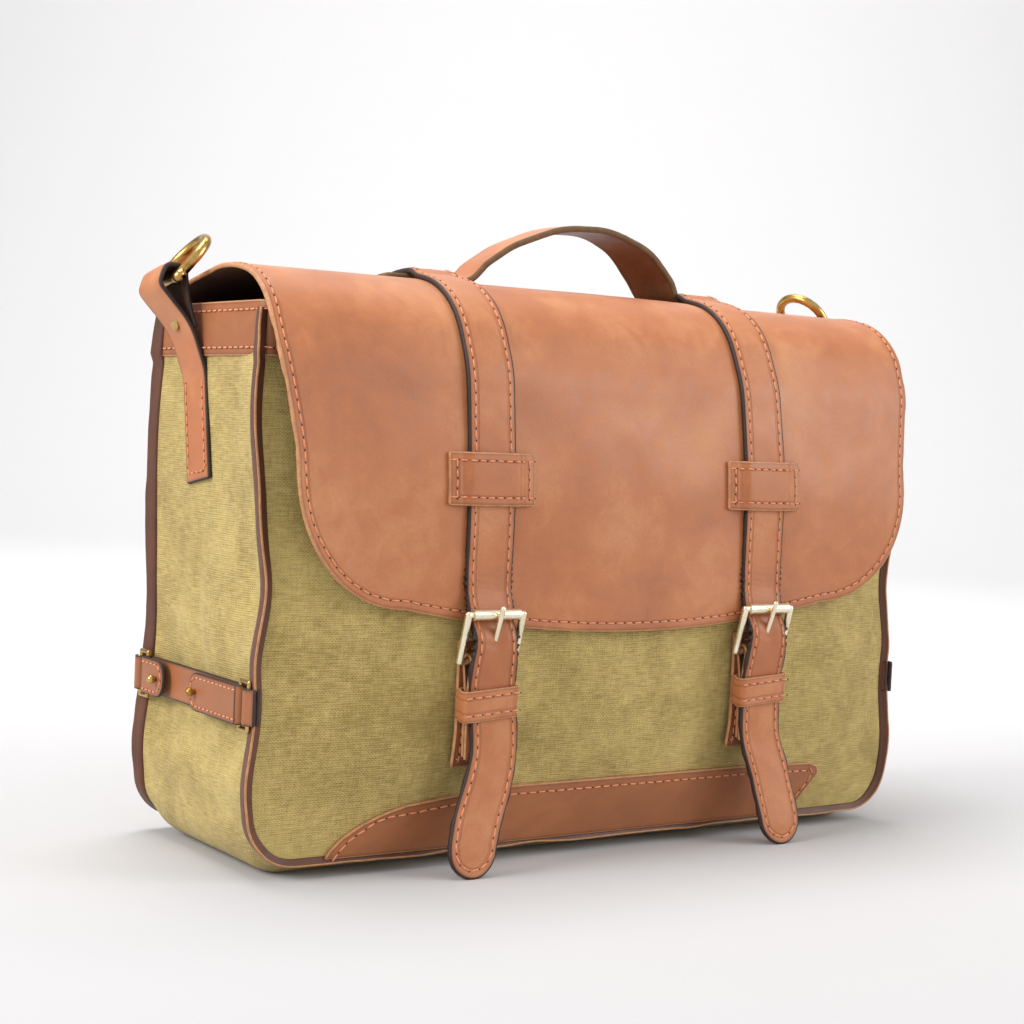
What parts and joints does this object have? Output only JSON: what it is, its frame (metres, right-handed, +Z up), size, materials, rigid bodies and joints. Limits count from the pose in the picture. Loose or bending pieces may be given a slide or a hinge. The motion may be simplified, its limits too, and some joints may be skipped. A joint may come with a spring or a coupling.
{
  "type": "messenger bag",
  "caption": "Soft-sided messenger bag in canvas and leather, with a full front flap on buckled straps, a grab handle, D-rings and side cinches.",
  "frame": {"origin": "middle of the flat base, on the surface that the bag stands on", "axes": "+X across the width, -Y the buckled front, +Z up"},
  "size_m": [0.472, 0.1801, 0.35],
  "materials": {
    "bridle_leather": "pull-up leather, orange-tan, mottled, with darker cut edges",
    "edge_leather": "softer brown leather for bindings and rim",
    "waxed_canvas": "heavy waxed cotton canvas, khaki olive",
    "lining_cloth": "plain cotton lining, dark brown",
    "stiffener_board": "black fibreboard",
    "pale_brass": "pale brass, satin cast",
    "antique_brass": "antique brass, worn satin"
  },
  "bodies": {
    "bag": {"front_panel": "waxed_canvas", "back_panel": "waxed_canvas", "gusset": "waxed_canvas", "lining": "lining_cloth", "base_board": "stiffener_board", "front_binding": "edge_leather", "back_binding": "edge_leather", "rim_band": "edge_leather", "base_patch": "bridle_leather", "flap_yoke": "bridle_leather", "strap_anchor_left": "bridle_leather", "strap_anchor_right": "bridle_leather", "buckle_base_left": "bridle_leather", "buckle_base_right": "bridle_leather", "buckle_chape_left": "bridle_leather", "buckle_chape_right": "bridle_leather", "ring_tab_left": "bridle_leather", "ring_tab_right": "bridle_leather", "tab_rivets": "antique_brass", "cinch_strap_left": "bridle_leather", "cinch_strap_right": "bridle_leather", "cinch_loops": "antique_brass", "cinch_tabs": "bridle_leather", "cinch_studs": "antique_brass"},
    "flap": {"flap_panel": "bridle_leather", "strap_left": "bridle_leather", "strap_right": "bridle_leather", "strap_tail_left": "bridle_leather", "strap_tail_right": "bridle_leather", "flap_keeper_left": "bridle_leather", "flap_keeper_right": "bridle_leather", "handle_tab_left": "bridle_leather", "handle_tab_right": "bridle_leather"},
    "handle": {"handle_arch": "bridle_leather"},
    "d_ring_left": {"d_ring_left": "antique_brass"},
    "buckle_left": {"buckle_frame_left": "pale_brass"},
    "prong_left": {"buckle_prong_left": "pale_brass"},
    "roller_left": {"buckle_roller_left": "pale_brass"},
    "tail_keeper_left": {"tail_keeper_left": "bridle_leather"},
    "cinch_end_left_front": {"cinch_end_left_front": "bridle_leather"},
    "cinch_end_left_back": {"cinch_end_left_back": "bridle_leather"},
    "d_ring_right": {"d_ring_right": "antique_brass"},
    "buckle_right": {"buckle_frame_right": "pale_brass"},
    "prong_right": {"buckle_prong_right": "pale_brass"},
    "roller_right": {"buckle_roller_right": "pale_brass"},
    "tail_keeper_right": {"tail_keeper_right": "bridle_leather"},
    "cinch_end_right_front": {"cinch_end_right_front": "bridle_leather"},
    "cinch_end_right_back": {"cinch_end_right_back": "bridle_leather"}
  },
  "joints": [
    {"name": "flap_hinge", "type": "hinge", "parent": "bag", "child": "flap", "pos_m": [0, 0.067, 0.3035], "axis": [-1, 0, 0], "range_deg": [0, 180], "deforming": ["strap_tail_left", "strap_tail_right"]},
    {"name": "handle_sway", "type": "hinge", "parent": "flap", "child": "handle", "pos_m": [0, 0, 0.318], "axis": [1, 0, 0], "range_deg": [-30, 30], "stiffness_Nm_per_rad": 0.05},
    {"name": "d_ring_swing_left", "type": "hinge", "parent": "bag", "child": "d_ring_left", "pos_m": [-0.231, 0.02406, 0.30042], "axis": [0, -0.9848, 0.1736], "range_deg": [0, 120]},
    {"name": "buckle_fold_left", "type": "hinge", "parent": "bag", "child": "buckle_left", "pos_m": [-0.094, -0.089, 0.111], "axis": [1, 0, 0], "range_deg": [0, 70]},
    {"name": "prong_lift_left", "type": "hinge", "parent": "buckle_left", "child": "prong_left", "pos_m": [-0.094, -0.089, 0.111], "axis": [1, 0, 0], "range_deg": [0, 45]},
    {"name": "roller_turn_left", "type": "hinge", "parent": "buckle_left", "child": "roller_left", "pos_m": [-0.094, -0.09579, 0.136], "axis": [1, 0, 0], "continuous": true},
    {"name": "tail_keeper_slide_left", "type": "slide", "parent": "bag", "child": "tail_keeper_left", "axis": [0, 0, 1], "range_m": [-0.01, 0]},
    {"name": "cinch_open_left_front", "type": "hinge", "parent": "bag", "child": "cinch_end_left_front", "pos_m": [-0.223, -0.0567, 0.089], "axis": [0, 0, 1], "range_deg": [0, 90]},
    {"name": "cinch_open_left_back", "type": "hinge", "parent": "bag", "child": "cinch_end_left_back", "pos_m": [-0.223, 0.0567, 0.089], "axis": [0, 0, -1], "range_deg": [0, 90]},
    {"name": "d_ring_swing_right", "type": "hinge", "parent": "bag", "child": "d_ring_right", "pos_m": [0.231, 0.02406, 0.30042], "axis": [0, 0.9848, -0.1736], "range_deg": [0, 120]},
    {"name": "buckle_fold_right", "type": "hinge", "parent": "bag", "child": "buckle_right", "pos_m": [0.094, -0.089, 0.111], "axis": [1, 0, 0], "range_deg": [0, 70]},
    {"name": "prong_lift_right", "type": "hinge", "parent": "buckle_right", "child": "prong_right", "pos_m": [0.094, -0.089, 0.111], "axis": [1, 0, 0], "range_deg": [0, 45]},
    {"name": "roller_turn_right", "type": "hinge", "parent": "buckle_right", "child": "roller_right", "pos_m": [0.094, -0.09579, 0.136], "axis": [1, 0, 0], "continuous": true},
    {"name": "tail_keeper_slide_right", "type": "slide", "parent": "bag", "child": "tail_keeper_right", "axis": [0, 0, 1], "range_m": [-0.01, 0]},
    {"name": "cinch_open_right_front", "type": "hinge", "parent": "bag", "child": "cinch_end_right_front", "pos_m": [0.223, -0.0567, 0.089], "axis": [0, 0, -1], "range_deg": [0, 90]},
    {"name": "cinch_open_right_back", "type": "hinge", "parent": "bag", "child": "cinch_end_right_back", "pos_m": [0.223, 0.0567, 0.089], "axis": [0, 0, 1], "range_deg": [0, 90]}
  ]
}
